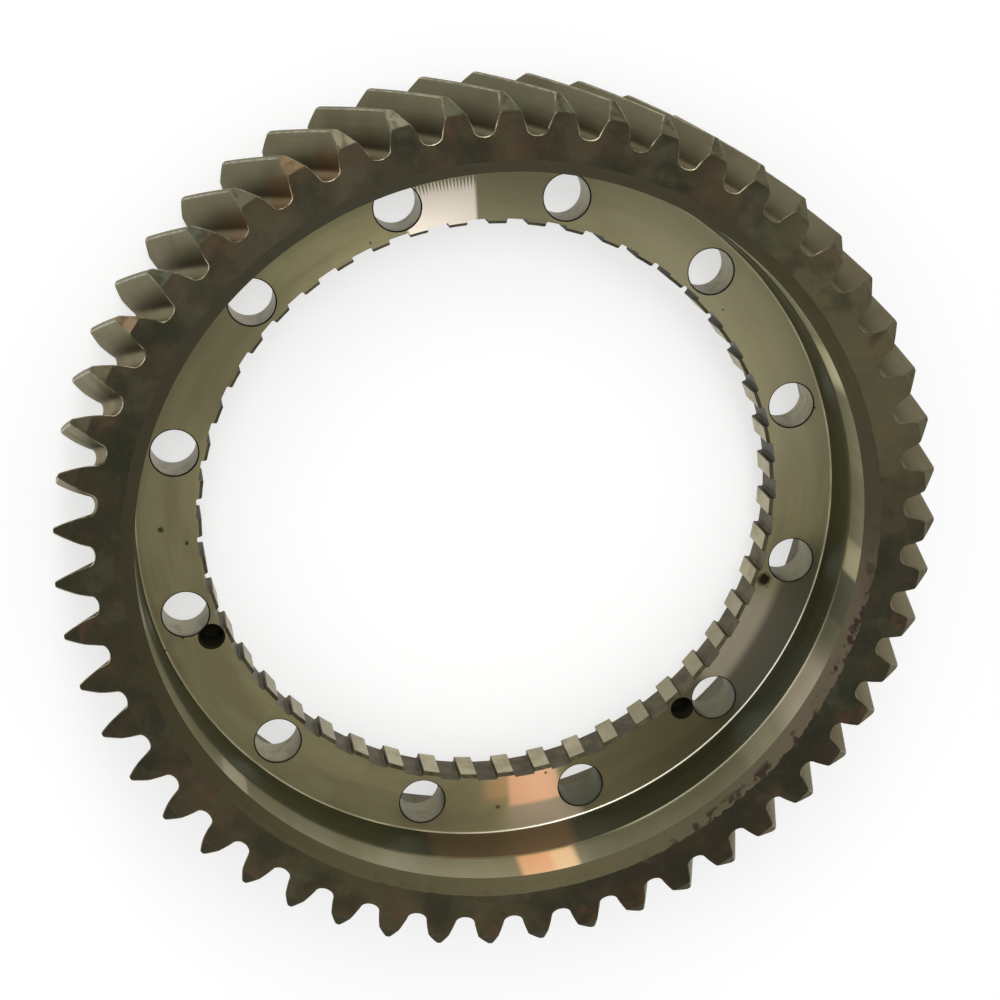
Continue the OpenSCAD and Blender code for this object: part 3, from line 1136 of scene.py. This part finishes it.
# %% Lands of the spline
land = Finish("spline_land", 0.85, 0.42)
marks = land.noise(land.around(120, 0), 1, 2)
stain = land.noise(land.spot, 0.12, 3)
colour = land.mix(land.smooth(stain, 0.4, 0.65), seen(168, 160, 128), seen(144, 135, 104))
colour = land.mix(land.smooth(marks, 0.3, 0.7, 0, 0.25), colour, seen(184, 176, 146))
colour = land.tinted(colour, [
    (24, 16, 0.5, 0.6, (132, 126, 98)), (118, 20, 0.5, 0.6, (126, 118, 90))])
land.colour(colour)
land.report()

# %% [markdown]
# ## Front ends of the lands
#
# Nothing rubs on the bevelled ends of the lands, so they are dark with old oil. They could share
# the finish of the grooves, but they face the light and would look too bright.

# %% Front ends of the lands
land_end = Finish("land_bevel", 0.7, 0.5)
stain = land_end.noise(land_end.spot, 0.3, 3)
colour = land_end.mix(land_end.smooth(stain, 0.35, 0.65), seen(62, 57, 38), seen(88, 82, 58))
land_end.colour(colour)
land_end.report()

# %% [markdown]
# ## Grooves of the spline
#
# The grooves keep a brown film of oil too. Their walls are too narrow for marks to show, so two
# noisy browns are enough, darker on one side of the bore: painted shade, away from the light.

# %% Grooves of the spline
groove = Finish("spline_groove", 0.85, 0.5)
stain = groove.noise(groove.spot, 0.15, 3)
colour = groove.mix(groove.smooth(stain, 0.35, 0.65), seen(68, 61, 38), seen(90, 82, 55))
# Painted shade on the side of the bore away from the light.
groove.colour(groove.mix(groove.near(-152, 44, 0.3), colour, seen(60, 56, 38)))
groove.report()

# %% [markdown]
# ## Blind holes
#
# The two blind holes hold dirt and let hardly any light out. A dark painted disc could stand for
# them, but it would look flat from the side. They are real holes, so a dull dark colour does the
# rest.

# %% Blind holes
blind = Finish("blind_hole", 0.0, 0.8)
blind.shader.inputs["Specular IOR Level"].default_value = 0.1
blind.colour(blind.mix(blind.noise(blind.spot, 0.5), seen(32, 31, 19), seen(40, 38, 24)))
blind.report()

# %% [markdown]
# ## The back
#
# The back isn't seen in the picture. Such a gear is turned there too, so it has plain turning
# rings under an uneven film of oil. Copying the stains of the front would claim more than is
# known.

# %% Back
back = Finish("back_skin", 0.8, 0.5, 0.5)
along = back.math("MULTIPLY", back.math("ADD", back.radius, back.z), 1.3)
rings = back.noise(back.around(2, along), 1, 3)
stain = back.noise(back.spot, 0.05, 4, 0.6, 0.8)
colour = back.mix(back.smooth(stain, 0.4, 0.65), seen(110, 107, 84), seen(92, 82, 60))
colour = back.mix(back.smooth(rings, 0.3, 0.7, 0, 0.35), colour, seen(136, 130, 104))
back.colour(colour)
back.bump(rings, 0.04, 0.4)
back.report()

# %% [markdown]
# ## Floor and backdrop
#
# A studio sweep is one sheet: a flat floor that curves up into a wall. A plain plane would end in
# a horizon that the metal mirrors. The sheet's diffuse part takes the gear's shadow. Its glow is
# added only for what the camera and the metal see, so it reads as white paper without more light
# on the gear.

# %% Studio sweep
SWEEP_R = 3.6
SWEEP_CURVE = 0.8
SWEEP_H = 2.4
CURVE_STEPS = 8
MIDDLE_R = 1.5
SIDES = 96
sweep = [(MIDDLE_R, 0.0), (SWEEP_R - SWEEP_CURVE, 0.0)]
for i in range(1, CURVE_STEPS + 1):
    t = math.pi / 2 * i / CURVE_STEPS
    sweep.append((SWEEP_R - SWEEP_CURVE + SWEEP_CURVE * math.sin(t),
                  SWEEP_CURVE * (1 - math.cos(t))))
sweep.append((SWEEP_R, SWEEP_H))
sweep_points = [(r * math.cos(math.tau * s / SIDES), r * math.sin(math.tau * s / SIDES), z)
                for r, z in sweep for s in range(SIDES)]
sweep_faces = [tuple(range(SIDES))]
for row in range(len(sweep) - 1):
    for s in range(SIDES):
        t = (s + 1) % SIDES
        sweep_faces.append((row * SIDES + t, row * SIDES + s, (row + 1) * SIDES + s,
                            (row + 1) * SIDES + t))
sweep_mesh = bpy.data.meshes.new("studio_sweep")
sweep_mesh.from_pydata(sweep_points, [], sweep_faces)
sweep_mesh.shade_smooth()
floor = bpy.data.objects.new("studio_sweep", sweep_mesh)
bpy.context.scene.collection.objects.link(floor)
print("sweep faces:", len(sweep_faces))

# %% White paper
PAPER_GREY = 0.5
PAPER_GLOW = 0.62
paper = bpy.data.materials.new("white_paper")
paper.use_nodes = True
sweep_mesh.materials.append(paper)
sheet = Nodes(paper.node_tree)
sheet_shader = sheet.tree.nodes["Principled BSDF"]
sheet_shader.inputs["Base Color"].default_value = (PAPER_GREY, PAPER_GREY, PAPER_GREY, 1)
sheet_shader.inputs["Roughness"].default_value = 0.9
sheet_shader.inputs["Specular IOR Level"].default_value = 0.0
path = sheet.tree.nodes.new("ShaderNodeLightPath").outputs
camera_or_metal = sheet.math("MAXIMUM", path["Is Camera Ray"], path["Is Glossy Ray"])
any_sight = sheet.math("MAXIMUM", camera_or_metal, path["Is Transmission Ray"])
glow = sheet.tree.nodes.new("ShaderNodeEmission")
sheet.feed(glow.inputs["Strength"], sheet.math("MULTIPLY", any_sight, PAPER_GLOW))
both = sheet.tree.nodes.new("ShaderNodeAddShader")
sheet.feed(both.inputs[0], sheet_shader.outputs[0])
sheet.feed(both.inputs[1], glow.outputs[0])
sheet.feed(sheet.tree.nodes["Material Output"].inputs["Surface"], both.outputs[0])
print("paper nodes:", len(sheet.tree.nodes))

# %% [markdown]
# ## Light
#
# One tall soft box stands past the upper edge of the picture. Its narrow width gives the turned
# web its bow-tie of light. A small weak one at the side lifts the flanks there. Lamps alone would
# leave the rest black, and an even room alone would look flat. So the room is soft, and a little
# darker on the near side, which shades round edges from one side to the other.

# %% Lamps
PICTURE_UP = math.radians(-109)
LAMP_AIM = Vector((0, 0, 0.035))


def soft_box(name, azimuth, elevation, distance, width, height, power):
    """A rectangular lamp that looks at the middle of the gear."""
    data = bpy.data.lights.new(name, "AREA")
    data.shape = "RECTANGLE"
    data.size = width
    data.size_y = height
    data.energy = power
    lamp = bpy.data.objects.new(name, data)
    flat = distance * math.cos(elevation)
    lamp.location = (flat * math.cos(azimuth), flat * math.sin(azimuth),
                     distance * math.sin(elevation))
    lamp.rotation_euler = (LAMP_AIM - lamp.location).to_track_quat("-Z", "Y").to_euler()
    bpy.context.scene.collection.objects.link(lamp)
    print(name, power, "W")


soft_box("tall_soft_box", math.radians(-99), math.radians(53), 1.9, 0.4, 1.5, 12)
soft_box("side_soft_box", PICTURE_UP + math.radians(75), math.radians(40), 2.0, 0.8, 0.8, 3)

# %% Room
NEAR_LEVEL = 0.5
FAR_LEVEL = 0.9
world = bpy.data.worlds.new("studio_room")
bpy.context.scene.world = world
world.use_nodes = True
room = Nodes(world.node_tree)
way = room.tree.nodes.new("ShaderNodeTexCoord").outputs["Generated"]
toward = room.vector("DOT_PRODUCT", way, (math.cos(PICTURE_UP), math.sin(PICTURE_UP), 0))
level = room.tree.nodes.new("ShaderNodeMapRange")
for name, value in (("Value", toward), ("From Min", -1), ("From Max", 1),
                    ("To Min", NEAR_LEVEL), ("To Max", FAR_LEVEL)):
    room.feed(level.inputs[name], value)
background = room.tree.nodes["Background"]
room.feed(background.inputs["Strength"], level.outputs[0])
background.inputs["Color"].default_value = (1, 1, 1, 1)
bpy.context.scene.view_settings.view_transform = "Standard"
print("room level from", NEAR_LEVEL, "to", FAR_LEVEL)
